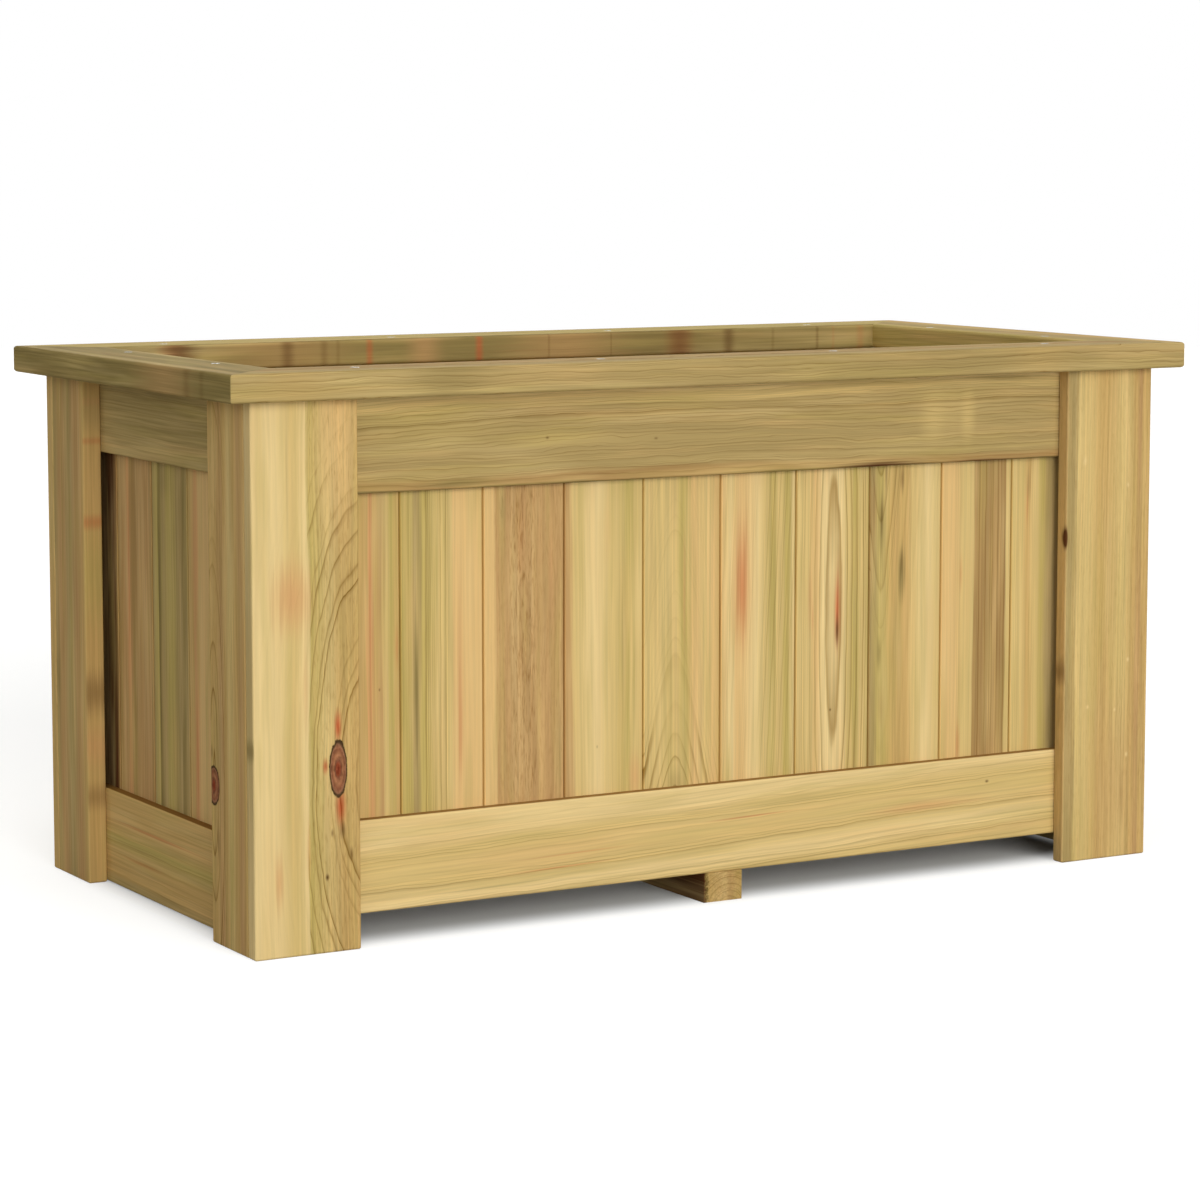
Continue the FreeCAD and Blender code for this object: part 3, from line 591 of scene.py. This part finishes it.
SLATS = {
    "front_slat_02": Board("z", "x", [
        (-405, "tan", 0.3), (-356, "tan", 0.4), (-352.5, "rose", 0.3), (-348, "tan", 0.4), (-343, "brown", 0.3),
        (-337, "straw", 0.3), (-332, "green", 0.4), (-327, "tan", 0.3), (-323.5, "tan", 0.3),
    ], (0, -460, 20), rings=0.8, contrast=0.6, sway=3, marks=[
        ("rust", 280, -352.5, 330, 3, 0.3), ("rust", 255, -327, 70, 5, 0.3), ("umber", 220, -344, 5, 3, 0.6),
    ], seed=2),
    "front_slat_03": Board("z", "x", [
        (-323.5, "green", 0.3), (-314, "green", 0.4), (-309, "olive", 0.7), (-300, "green", 0.9),
        (-282, "straw", 1.0), (-275, "straw", 0.6), (-271, "peach", 0.2), (-262, "peach", 0.1), (-242, "peach", 0.1),
    ], (0, -420, 15), rings=0.9, contrast=0.9, sway=2, marks=[
        ("moss", 225, -308, 200, 6.5, 1.0), ("rust", 180, -265, 180, 6, 0.4), ("rose", 220, -265, 360, 10, 0.6),
    ], seed=3),
    "front_slat_04": Board("z", "x", [
        (-242, "peach", 0.1), (-231, "peach", 0.1), (-227, "brown", 0.4), (-216, "brown", 0.5), (-211, "brown", 1.0),
        (-193, "brown", 1.0), (-187, "brown", 0.4), (-160.5, "brown", 0.4),
    ], (240, -200, 26), rings=0.9, close=0.1, contrast=0.5, sway=8, curl=2, flecks=0.6, marks=[
        ("moss", 372, -222, 50, 14, 0.35), ("rose", 350, -205, 150, 16, 0.35), ("rose", 320, -174, 140, 9, 0.35),
        ("moss", 150, -165, 150, 8, 0.3),
    ], seed=4),
    "front_slat_05": Board("z", "x", [
        (-160.5, "brown", 0.3), (-154, "brown", 0.3), (-149.5, "straw", 0.15), (-128, "cream", 0.1),
        (-112, "straw", 0.3), (-95, "green", 0.4), (-88, "straw", 0.2), (-79, "straw", 0.2),
    ], (0, 30, 25), rings=1.8, contrast=0.6, sway=8, marks=[
        ("peach", 345, -116, 100, 14, 0.4), ("rose", 122, -88, 70, 20, 0.6), ("moss", 235, -101, 150, 2.5, 0.4),
        ("umber", 152, -127, 5, 2.5, 0.4),
    ], seed=5),
    "front_slat_06": Board("z", "x", [
        (-79, "straw", 0.8), (-68, "straw", 0.9), (-57, "straw", 0.9), (-46, "straw", 0.8), (-36, "green", 0.7),
        (-25, "peach", 0.7), (-14, "straw", 0.5), (-5, "peach", 0.4), (2.5, "tan", 0.6),
    ], (0, -46, 12), rings=1.3, cone=0.19, contrast=1.4, fade=(115, 180, 0.15), sway=4, marks=[
        ("rose", 290, -36, 190, 5, 0.45), ("moss", 112, -46, 44, 30, 0.35),
    ], seed=6),
    "front_slat_07": Board("z", "x", [
        (2.5, "peach", 0.4), (14, "cream", 0.4), (22, "peach", 0.25), (42, "cream", 0.2), (50, "straw", 0.7),
        (58, "green", 0.8), (66, "straw", 0.8), (74, "green", 0.7), (84, "cream", 0.7),
    ], (0, 150, 25), cone=0.05, contrast=0.8, marks=[
        ("rose", 295, 26, 230, 40, 0.6), ("rust", 286, 26, 170, 20, 0.5),
    ], seed=7),
    "front_slat_08": Board("z", "x", [
        (84, "straw", 0.6), (97, "straw", 0.4), (106, "peach", 0.6), (114, "cream", 0.8), (135, "cream", 0.9),
        (143, "straw", 0.8), (150, "green", 0.7), (158, "straw", 0.8), (165.5, "green", 0.8),
    ], (262, 126, 4), rings=1.4, close=0.075, contrast=1.3, sway=4, marks=[
        ("rose", 265, 131, 150, 16, 0.6), ("rust", 256, 130, 110, 9, 0.9), ("umber", 240, 130, 50, 6.5, 0.9),
        ("umber", 166, 123, 5, 4, 0.7), ("rose", 275, 100, 100, 8, 0.5), ("rust", 252, 103, 60, 3, 0.35),
    ], seed=8),
    "front_slat_09": Board("z", "x", [
        (165.5, "olive", 0.9), (180, "green", 1.0), (195, "tan", 0.8), (210, "tan", 0.5), (216, "straw", 0.3),
        (228, "cream", 0.1), (247, "straw", 0.3),
    ], (0, 178, 3), rings=1.2, cone=-0.1, contrast=0.8, fade=(360, 220, 0.2), marks=[
        ("umber", 378, 202, 44, 8, 0.5), ("moss", 290, 202, 80, 13, 0.85), ("umber", 300, 202, 40, 7, 0.35),
        ("moss", 335, 179, 120, 11, 0.85), ("umber", 345, 179, 60, 6, 0.35), ("umber", 385, 184, 60, 5, 0.4),
        ("moss", 215, 177, 54, 9, 0.6), ("tobacco", 352, 170, 90, 12, 0.7), ("tobacco", 165, 180, 70, 14, 0.4),
    ], seed=9),
    "front_slat_10": Board("z", "x", [
        (247, "peach", 0.1), (262, "peach", 0.3), (274, "straw", 0.3), (283, "straw", 0.3), (286.5, "tobacco", 0.7),
        (300, "tobacco", 1.0), (320.5, "tobacco", 1.0), (322.5, "straw", 0.3), (328.5, "straw", 0.3),
    ], (0, 420, 20), rings=1.2, sway=1, marks=[
        ("rust", 285, 270, 60, 6, 0.3), ("rust", 120, 268, 70, 8, 0.35),
    ], seed=10),
    "front_slat_11": Board("z", "x", [
        (328.5, "straw", 0.3), (340, "straw", 0.5), (349, "tan", 0.5), (357, "straw", 0.3), (365, "green", 0.3),
        (372, "olive", 0.3), (410, "tan", 0.3),
    ], (0, 460, 25), contrast=0.6, marks=[
        ("tobacco", 365, 348, 50, 10, 0.6), ("rust", 345, 347, 60, 4, 0.3), ("green", 150, 366, 150, 10, 0.5),
    ], seed=11),
    # Its tobacco, umber and moss bands are painted shade in the recess beside the back-left post.
    "left_slat_1": Board("z", "y", [
        (130.5, "tobacco", 0.3), (138, "umber", 0.3), (197.5, "moss", 0.4),
    ], (0, 240, 20), contrast=0.6, seed=31),
    "left_slat_2": Board("z", "y", [
        (49, "tobacco", 0.4), (58, "brown", 0.5), (70, "brown", 0.4), (96, "tobacco", 0.4), (105, "rose", 0.3),
        (112, "brown", 0.4), (130.5, "tobacco", 0.3),
    ], (0, 200, 20), rings=1.1, contrast=0.8, sway=3, marks=[
        ("rust", 320, 104, 280, 5, 0.35), ("tobacco", 370, 62, 90, 14, 0.5), ("olive", 150, 110, 160, 8, 0.5),
    ], seed=32),
    "left_slat_3": Board("z", "y", [
        (-32.5, "olive", 0.6), (-20, "moss", 0.8), (-12, "olive", 0.7), (10, "green", 0.5), (24, "olive", 0.5),
        (32, "moss", 0.7), (37, "green", 0.8), (49, "olive", 0.6),
    ], (0, 130, 15), contrast=0.8, sway=2, marks=[
        ("moss", 190, 32, 230, 7, 0.7), ("tan", 140, 0, 140, 26, 0.4), ("moss", 390, 20, 60, 60, 0.35),
    ], seed=33),
    "left_slat_4": Board("z", "y", [
        (-114, "straw", 0.3), (-98, "tan", 0.3), (-80, "peach", 0.2), (-58, "peach", 0.2), (-50, "rose", 0.3),
        (-42, "tan", 0.3), (-32.5, "tan", 0.4),
    ], (0, 60, 20), contrast=0.6, sway=3, marks=[
        ("rust", 150, -50, 150, 8, 0.3), ("rose", 330, -48, 220, 24, 0.4),
    ], seed=34),
}

POSTS = {
    "front_left_post_face_board": Board("z", "x", [
        (-475, "cream", 0.03), (-455, "cream", 0.06), (-436, "straw", 0.08), (-424, "cream", 0.08),
        (-420.5, "green", 0.9), (-404, "straw", 1.0), (-390, "tan", 1.0), (-375, "tan", 0.9),
    ], (150, -368, 6), rings=1.8, close=0.27, contrast=1.3, fade=(330, 440, 0.1), sway=12, curl=3, flecks=0.35, marks=[
        ("peach", 450, -397, 320, 66, 0.75), ("rose", 308, -438, 100, 62, 0.8), ("rose", 66, -452, 80, 12, 0.7),
        ("rose", 90, -424, 90, 6, 0.5), ("moss", 70, -397, 280, 60, 0.2), ("moss", 300, -397, 330, 60, 0.2),
        ("tobacco", 410, -442, 150, 3, 0.3), ("rose", 230, -426, 120, 8, 0.35),
        ("rust", 196, -396, 44, 11, 0.95), ("rust", 126, -394, 56, 16, 0.95), ("rust", 162, -408, 22, 9, 0.8),
        ("umber", 106, -392, 26, 10, 0.6), ("umber", 84, -384, 22, 6, 0.6), ("umber", 66, -407, 9, 6, 0.9),
        ("umber", 104, -402, 12, 5, 0.6), ("moss", 180, -475, 32, 3, 1.0), ("olive", 240, -475, 600, 3, 0.6),
    ], knots=[(159, -396, 53, 18)], seed=41),
    "front_left_post_side_board": Board("z", "y", [
        (-217.5, "tan", 0.3), (-206, "brown", 0.4), (-198, "tan", 0.4), (-186, "straw", 0.5), (-176, "tan", 0.8),
        (-168, "brown", 1.0), (-155, "tan", 1.0), (-142.5, "tan", 1.0),
    ], (150, -150, 6), rings=1.5, close=0.12, contrast=1.6, fade=(240, 320, 0.3), curl=1.5, flecks=0.2, marks=[
        ("moss", 160, -160, 230, 36, 0.3), ("umber", 92, -158, 60, 10, 0.45), ("umber", 168, -146, 26, 6, 0.6),
        ("green", 60, -186, 180, 24, 0.6), ("rust", 140, -160, 50, 8, 0.5),
    ], knots=[(139, -150, 38, 24, 475, 26)], seed=42),
    "front_right_post_face_board": Board("z", "x", [
        (375, "olive", 0.6), (386, "olive", 0.6), (391, "straw", 0.5), (400, "straw", 0.4), (418, "tan", 0.4),
        (445, "straw", 0.5), (456, "tan", 0.6), (462, "brown", 0.5), (468, "tan", 0.6), (475, "tan", 0.4),
    ], (60, 520, 15), rings=1.2, close=0.05, contrast=0.6, sway=4, curl=2, flecks=0.4, marks=[
        # The peach mark along 375 mm is painted light, which lifts the post's left-facing edge out of its shade.
        ("brown", 70, 440, 280, 90, 0.5), ("peach", 240, 375, 2400, 4, 0.7), ("umber", 186, 375, 44, 3, 0.5),
        ("tobacco", 60, 446, 90, 10, 0.5), ("umber", 315, 375, 34, 6, 2.0, -232.5, 22),
        ("cream", 363, 448, 8, 6, 1.0), ("cream", 193, 451, 8, 6, 1.0), ("cream", 150, 403, 7, 6, 0.9),
        ("cream", 145, 436, 7, 5, 0.9), ("cream", 100, 451, 9, 6, 1.0), ("cream", 388, 396, 16, 9, 0.7),
    ], seed=43),
    "back_left_post_side_board": Board("z", "y", [
        (142.5, "tan", 0.4), (160, "brown", 0.5), (180, "olive", 0.5), (200, "brown", 0.6), (217.5, "olive", 0.6),
    ], (0, 260, 20), contrast=0.6, marks=[
        ("rust", 340, 142.5, 24, 4, 0.45), ("umber", 180, 142.5, 66, 4, 0.45), ("umber", 82, 142.5, 40, 4, 0.35),
        ("rust", 416, 142.5, 12, 4, 0.3), ("rose", 452, 142.5, 14, 4, 0.4), ("moss", 190, 212, 90, 12, 0.6),
        ("green", 290, 142.5, 150, 4, 0.7), ("olive", 440, 142.5, 60, 4, 0.5), ("rose", 130, 142.5, 60, 4, 0.5),
    ], seed=44),
}

RAILS = {
    # Its straw and cream bands at the top are painted light, which lifts the shade under the cap's overhang.
    "front_top_rail": Board("x", "z", [
        (392, "moss", 0.2), (395, "tobacco", 0.2), (399, "tobacco", 0.2), (404, "olive", 0.25), (430, "olive", 0.35),
        (456, "olive", 0.35), (466, "straw", 0.3), (475.5, "cream", 0.3),
    ], (0, 335, 38), rings=0.78, contrast=2.8, sway=18, curl=3, marks=[
        ("straw", 245, 440, 120, 70, 0.35), ("straw", 229, 436, 44, 80, 0.5), ("straw", 269, 436, 28, 80, 0.6),
        ("moss", -275, 397, 110, 10, 0.8), ("umber", 170, 393, 170, 12, 1.0), ("umber", 285, 392, 110, 8, 0.9),
        ("green", -300, 445, 260, 60, 0.3), ("straw", -150, 430, 200, 16, 0.3), ("umber", -183, 433, 6, 5, 0.6),
        ("umber", -72, 428, 7, 4, 0.5), ("moss", 310, 470, 120, 10, 0.35),
    ], seed=51),
    "front_bottom_rail": Board("x", "z", [
        (27, "straw", 0.4), (42, "cream", 0.5), (56, "straw", 0.4), (68, "straw", 0.2), (84, "straw", 0.4),
        (98, "cream", 0.2), (109, "cream", 0.2),
    ], (0, -30, 28), rings=1.2, contrast=1.5, sway=12, curl=2, lean=-1.5, marks=[
        ("rust", -155, 64, 160, 3, 0.55), ("rust", -170, 53, 180, 3, 0.5), ("rust", 35, 75, 150, 3, 0.5),
        ("rose", 225, 62, 200, 16, 0.6), ("peach", -190, 68, 330, 36, 0.6), ("rose", 325, 106, 170, 14, 0.4),
        ("umber", 298, 77, 7, 5, 0.8), ("moss", -260, 34, 260, 3, 0.45), ("moss", -230, 44, 200, 3, 0.35),
        ("moss", -20, 88, 160, 2.5, 0.4),
    ], seed=52),
    "left_top_rail": Board("y", "z", [
        (405, "olive", 0.6), (430, "olive", 0.8), (475.5, "olive", 0.8),
    ], (0, 335, 35), rings=0.9, contrast=0.5, sway=12, marks=[("moss", -60, 440, 700, 60, 0.4)], seed=53),
    "left_bottom_rail": Board("y", "z", [
        (1, "olive", 0.6), (14, "tan", 0.6), (30, "tan", 0.5), (46, "green", 0.6), (58, "tan", 0.5),
        (66, "tan", 0.4), (89.5, "tan", 0.3),
    ], (0, -20, 25), rings=1.4, contrast=0.7, sway=6, marks=[
        ("rust", 20, 62, 300, 5, 0.45), ("rust", 60, 31, 160, 6, 0.3), ("green", 40, 48, 120, 8, 0.5),
    ], seed=54),
}

CAP = {
    "cap_front_board": Board("x", "y", [
        (-250, "olive", 0.35), (-236, "olive", 0.3), (-205, "tobacco", 0.3), (-181, "olive", 0.3),
    ], (0, -215, 60), rings=0.72, contrast=2.6, sway=16, curl=3, marks=[
        ("moss", 220, -250, 560, 24, 0.3), ("tan", 330, -250, 120, 20, 0.3), ("moss", -300, -250, 120, 10, 0.4),
        ("tan", -440, -250, 120, 20, 0.3),
    ], seed=61),
    "cap_left_board": Board("y", "x", [
        (-500, "moss", 0.7), (-492, "olive", 0.5), (-478, "moss", 0.5), (-442, "moss", 0.6), (-431, "olive", 0.5),
    ], (0, -470, 40), rings=0.9, contrast=0.5, sway=9, marks=[
        ("brown", -110, -500, 200, 8, 0.6), ("umber", -158, -500, 26, 8, 0.25), ("umber", -190, -500, 18, 8, 0.2),
        ("moss", 160, -500, 160, 8, 0.4), ("tobacco", 60, -470, 300, 40, 0.4), ("green", 0, -462, 800, 110, 0.2),
        ("moss", 170, -475, 340, 90, 0.55),
    ], seed=62),
    "cap_back_board": Board("x", "y", [
        (181, "moss", 0.3), (184, "moss", 0.3), (190, "green", 0.5), (230, "green", 0.5), (250, "olive", 0.5),
    ], (0, 214, -26), rings=0.9, contrast=0.6, sway=9, marks=[
        ("tobacco", -250, 181, 240, 8, 0.7), ("rust", -367, 181, 52, 8, 0.25), ("umber", -360, 181, 62, 8, 0.7),
        ("umber", -248, 181, 24, 8, 0.5), ("umber", -209, 181, 14, 8, 0.3), ("umber", -194, 181, 8, 8, 0.2),
        ("rust", -160, 181, 13, 8, 0.5), ("rose", -100, 181, 60, 8, 0.4), ("rust", -39, 181, 15, 8, 0.6),
        ("rose", 60, 181, 220, 8, 0.35), ("umber", 40, 181, 5, 8, 0.25), ("umber", 112, 181, 4, 8, 0.25),
        ("rust", 193, 181, 52, 8, 0.25), ("umber", 193, 181, 48, 8, 0.45), ("umber", 252, 181, 24, 8, 0.6),
        ("umber", 306, 181, 7, 8, 0.3), ("moss", 320, 181, 220, 8, 0.5), ("umber", 190, 181, 330, 8, 0.15),
        ("umber", 361, 181, 7, 8, 0.35), ("rust", 381, 181, 6, 8, 0.15), ("rust", 415, 181, 16, 8, 0.2),
    ], seed=63),
}

INSIDE = {
    # Its umber and moss bands at -20.25 mm are painted shade on the side that stands in the shadow under the rail.
    "centre_support": Board("y", "x", [
        (-20.25, "umber", 0.3), (-18, "moss", 0.3), (-15, "straw", 0.5), (0, "cream", 0.6), (20.25, "straw", 0.5),
    ], (0, 6, 20), contrast=0.8, sway=1, marks=[("brown", -217, 8, 90, 14, 0.4)], seed=71),
}


def axes_of(name):
    """The grain's direction and the width's direction of a node, from its box."""
    low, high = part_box(name)
    spans = sorted(((high - low)[number], letter) for number, letter in enumerate("xyz"))
    return spans[2][1], spans[1][1]


def dress_boards(names, known, palette, **dust):
    """Dresses nodes in pine: by the known boards where one is written, else by chance."""
    for name in names:
        seed = FIRST_SEED + sorted(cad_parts).index(name)
        board = known.get(name) or chance_board(name, *axes_of(name), palette, seed)
        dress(name, planed_pine(name, board, **dust))


def nodes_with(*words):
    return [name for name in sorted(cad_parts) if any(word in name for word in words)]


class PLANTER_OT_cap(bpy.types.Operator):
    """Dress the four mitred boards of the cap"""

    bl_idname = "planter.cap"
    bl_label = "Cap"

    def execute(self, context):
        dress_boards(nodes_with("cap_front", "cap_right", "cap_back", "cap_left"), CAP, "rail")
        return {"FINISHED"}


class PLANTER_OT_posts(bpy.types.Operator):
    """Dress the face and side boards of the corner posts"""

    bl_idname = "planter.posts"
    bl_label = "Posts"

    def execute(self, context):
        dress_boards(nodes_with("_post_"), POSTS, "post")
        return {"FINISHED"}


class PLANTER_OT_rails(bpy.types.Operator):
    """Dress the top and bottom rails"""

    bl_idname = "planter.rails"
    bl_label = "Rails"

    def execute(self, context):
        # The rails get painted shade on their upper and lower faces.
        dress_boards(nodes_with("_rail"), RAILS, "rail", edge_dust=True)
        return {"FINISHED"}


class PLANTER_OT_slats(bpy.types.Operator):
    """Dress the tongue-and-groove slats of all four panels"""

    bl_idname = "planter.slats"
    bl_label = "Slats"

    def execute(self, context):
        # The slats get painted shade deep in their V joints and a painted highlight on the joints' bevels.
        dress_boards(nodes_with("_slat_"), SLATS, "slat", joint_dust=True)
        row = row_of_slats("back_slats", seed=90)
        dress("back_slats", planed_pine("back_slats", row, joint_dust=True))
        return {"FINISHED"}


class PLANTER_OT_inside(bpy.types.Operator):
    """Dress the floor boards, what carries them, and the corner battens"""

    bl_idname = "planter.inside"
    bl_label = "Inside"

    def execute(self, context):
        dress_boards(nodes_with("floor_board", "floor_cleat", "centre_support", "batten"), INSIDE, "inside")
        return {"FINISHED"}


class PLANTER_OT_fasteners(bpy.types.Operator):
    """Coat the screws and pins with zinc"""

    bl_idname = "planter.fasteners"
    bl_label = "Fasteners"

    def execute(self, context):
        for name in ("cap_screws", "frame_screws", "floor_screws", "support_screws", "slat_pins"):
            dress(name, galvanised_steel(name))
        return {"FINISHED"}


# Each lamp's direction from the box and how wide it looks from there, in degrees
LAMPS = {
    "key": ((-0.04, -1.0, 0.16), 45),
    "back": ((0.5, 1.0, 0.16), 40),
    "side": ((-1.0, 0.45, 0.35), 25),
    "fill": ((-0.75, -0.65, 0.3), 60),
    "top": ((0.05, -0.15, 1.0), 50),
}
# The floor lies this far under the feet, so that the two don't share a plane.
FLOOR_DROP = 0.2 * MM
# How far inside the box's outline the floor's lift to white begins, over which way it grows, and how strong it gets
LIFT_INSET, LIFT_GROWTH, FLOOR_LIFT = 0.08, 0.07, 0.65
# The camera's place in metres, its turn from +Y towards +X and down from level in degrees, its shift as a
# share of the picture's width, and its sensor's width in mm
CAMERA_PLACE = (-1.7169, -2.9828, 0.6902)
CAMERA_YAW, CAMERA_PITCH, CAMERA_SHIFT, SENSOR_WIDTH = 29.8537, 6.2742, -0.05, 36


def white_where_seen(tree):
    """1 for what the camera sees, straight or through a reflection, and 0 for light on the object."""
    path = add(tree, "LightPath").outputs
    seen = path["Is Camera Ray"]
    for ray in ("Is Glossy Ray", "Is Transmission Ray"):
        seen = add(tree, "Math", {0: seen, 1: path[ray]}, operation="MAXIMUM").outputs[0]
    return seen


def pale_floor(stage):
    """A pale matt floor, as of painted board, lifted to white for the camera except in the box's shadow."""
    material, tree = new_material("pale_floor")
    place = add(tree, "TexCoord").outputs["Object"]
    faint = add(tree, "TexNoise", {"Vector": place, "Scale": 3.0})
    roughness = add(tree, "MapRange", {"Value": faint.outputs[0], "To Min": 0.85, "To Max": 0.95})
    plain = add(tree, "BsdfDiffuse", {"Color": (*stage.floor, 1), "Roughness": roughness.outputs[0]})
    # The ground under the box gets no lift: it is dark between the floor boards.
    unlifted = [reach - LIFT_INSET for reach in CAD_BOUNDS[1][:2]]
    spot = add(tree, "VectorMath", {0: place}, operation="ABSOLUTE")
    spot = add(tree, "VectorMath", {0: spot.outputs[0], 1: (*unlifted, 0)}, operation="SUBTRACT")
    spot = add(tree, "VectorMath", {0: spot.outputs[0], 1: (0, 0, 0)}, operation="MAXIMUM")
    away = add(tree, "VectorMath", {0: spot.outputs[0]}, operation="LENGTH").outputs["Value"]
    away = add(tree, "MapRange", {
        "Value": away, "From Max": LIFT_GROWTH, "To Max": FLOOR_LIFT,
    }, interpolation_type="SMOOTHSTEP")
    lift = add(tree, "Math", {0: white_where_seen(tree), 1: away.outputs[0]}, operation="MULTIPLY")
    glow = add(tree, "Emission", {"Color": (1, 1, 1, 1), "Strength": lift.outputs[0]})
    both = add(tree, "AddShader", {0: plain.outputs[0], 1: glow.outputs[0]})
    add(tree, "OutputMaterial", {0: both.outputs[0]})
    return material


def white_world(stage):
    """Weak, even light from all round, and plain white where the camera looks past the floor."""
    world = bpy.data.worlds.new("studio")
    world.use_nodes = True
    tree = world.node_tree
    tree.nodes.clear()
    light = add(tree, "Background", {"Color": (1, 1, 1, 1), "Strength": stage.sky})
    white = add(tree, "Background", {"Color": (1, 1, 1, 1), "Strength": 1.0})
    both = add(tree, "MixShader", {0: white_where_seen(tree), 1: light.outputs[0], 2: white.outputs[0]})
    add(tree, "OutputWorld", {0: both.outputs[0]})
    return world


def sun(name, strength, toward, angle):
    """A soft, even lamp that shines from a direction."""
    lamp = bpy.data.lights.new(name, "SUN")
    lamp.energy = strength
    lamp.angle = math.radians(angle)
    lamp.use_shadow = True
    holder = bpy.data.objects.new(name, lamp)
    holder.rotation_euler = Vector(toward).to_track_quat("Z", "Y").to_euler()
    bpy.context.scene.collection.objects.link(holder)


class PLANTER_OT_stage(bpy.types.Operator):
    """Make the pale floor, the lamps, the white surroundings and the camera"""

    bl_idname = "planter.stage"
    bl_label = "Stage"

    def execute(self, context):
        stage = context.scene.planter_stage
        mesh = bpy.data.meshes.new("floor")
        shape = bmesh.new()
        bmesh.ops.create_circle(shape, cap_ends=True, segments=64, radius=stage.floor_radius)
        bmesh.ops.translate(shape, verts=shape.verts, vec=(0, 0, -FLOOR_DROP))
        shape.to_mesh(mesh)
        shape.free()
        mesh.materials.append(pale_floor(stage))
        floor = bpy.data.objects.new("floor", mesh)
        context.scene.collection.objects.link(floor)

        context.scene.world = white_world(stage)
        for name, (toward, angle) in LAMPS.items():
            sun(f"{name}_lamp", getattr(stage, name), toward, angle)

        lens = bpy.data.cameras.new("camera")
        lens.sensor_width = SENSOR_WIDTH
        lens.lens = stage.lens
        lens.shift_y = CAMERA_SHIFT
        camera = bpy.data.objects.new("camera", lens)
        yaw, pitch = math.radians(CAMERA_YAW), math.radians(CAMERA_PITCH)
        ahead = Vector((math.sin(yaw) * math.cos(pitch), math.cos(yaw) * math.cos(pitch), -math.sin(pitch)))
        camera.location = CAMERA_PLACE
        camera.rotation_euler = ahead.to_track_quat("-Z", "Y").to_euler()
        context.scene.collection.objects.link(camera)
        context.scene.camera = camera
        context.scene.view_settings.view_transform = "Standard"
        return {"FINISHED"}


OPERATORS = (
    PLANTER_OT_cap,
    PLANTER_OT_posts,
    PLANTER_OT_rails,
    PLANTER_OT_slats,
    PLANTER_OT_inside,
    PLANTER_OT_fasteners,
    PLANTER_OT_stage,
)


class PLANTER_PT_panel(bpy.types.Panel):
    """The planter's colours and sizes, and the steps that dress it"""

    bl_label = "Planter box"
    bl_idname = "PLANTER_PT_panel"
    bl_space_type = "VIEW_3D"
    bl_region_type = "UI"
    bl_category = "Planter"

    def draw(self, context):
        for group in GROUPS:
            settings = getattr(context.scene, group)
            box = self.layout.box()
            for name in settings.__annotations__:
                box.prop(settings, name)
        for operator in OPERATORS:
            self.layout.operator(operator.bl_idname)


GROUPS = {"planter_pine": PlanterPine, "planter_steel": PlanterSteel, "planter_stage": PlanterStage}


def register():
    for name, group in GROUPS.items():
        bpy.utils.register_class(group)
        setattr(bpy.types.Scene, name, PointerProperty(type=group))
    for kind in (*OPERATORS, PLANTER_PT_panel):
        bpy.utils.register_class(kind)


def unregister():
    for kind in reversed((*OPERATORS, PLANTER_PT_panel)):
        bpy.utils.unregister_class(kind)
    for name, group in GROUPS.items():
        delattr(bpy.types.Scene, name)
        bpy.utils.unregister_class(group)


def main():
    register()
    bpy.ops.planter.cap()
    bpy.ops.planter.posts()
    bpy.ops.planter.rails()
    bpy.ops.planter.slats()
    bpy.ops.planter.inside()
    bpy.ops.planter.fasteners()
    bpy.ops.planter.stage()


if __name__ == "__main__":
    main()
